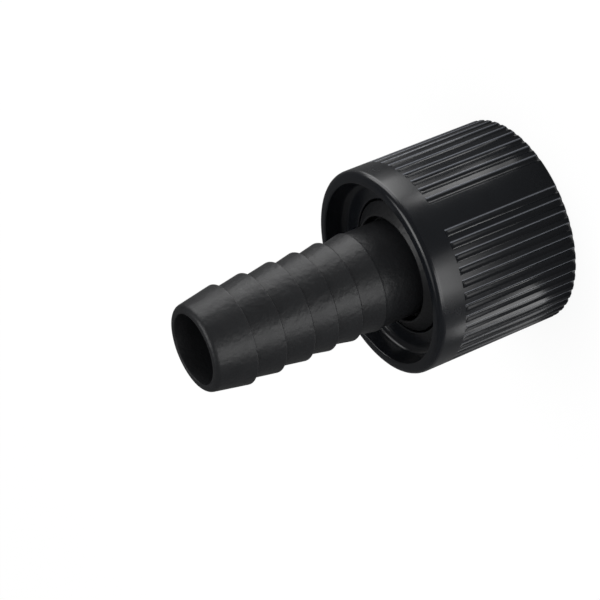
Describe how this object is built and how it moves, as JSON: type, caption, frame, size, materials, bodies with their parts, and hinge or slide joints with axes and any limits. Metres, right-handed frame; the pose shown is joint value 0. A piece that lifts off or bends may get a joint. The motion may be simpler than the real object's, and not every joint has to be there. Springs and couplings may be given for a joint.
{
  "type": "hose adapter",
  "caption": "Moulded hose adapter: a barbed hose tail that swivels in a ribbed union nut with a female pipe thread and a flat sealing washer.",
  "frame": {"origin": "on the common axis, in the plane of the union nut's open end, on which the part stands", "axes": "+Z along the common axis, towards the tip of the hose tail; +X through the middle of one of the nut's two smooth panels"},
  "size_m": [0.042, 0.042, 0.0741],
  "materials": {
    "tail_plastic": "matte moulded black, fine texture",
    "nut_plastic": "satin moulded black",
    "washer_rubber": "dull black rubber"
  },
  "bodies": {
    "tail": {"hose_tail": "tail_plastic", "sealing_washer": "washer_rubber"},
    "nut": {"union_nut": "nut_plastic"}
  },
  "joints": [
    {"name": "nut_swivel", "type": "hinge", "parent": "tail", "child": "nut", "pos_m": [0, 0, 0.0262], "axis": [0, 0, 1], "continuous": true}
  ]
}
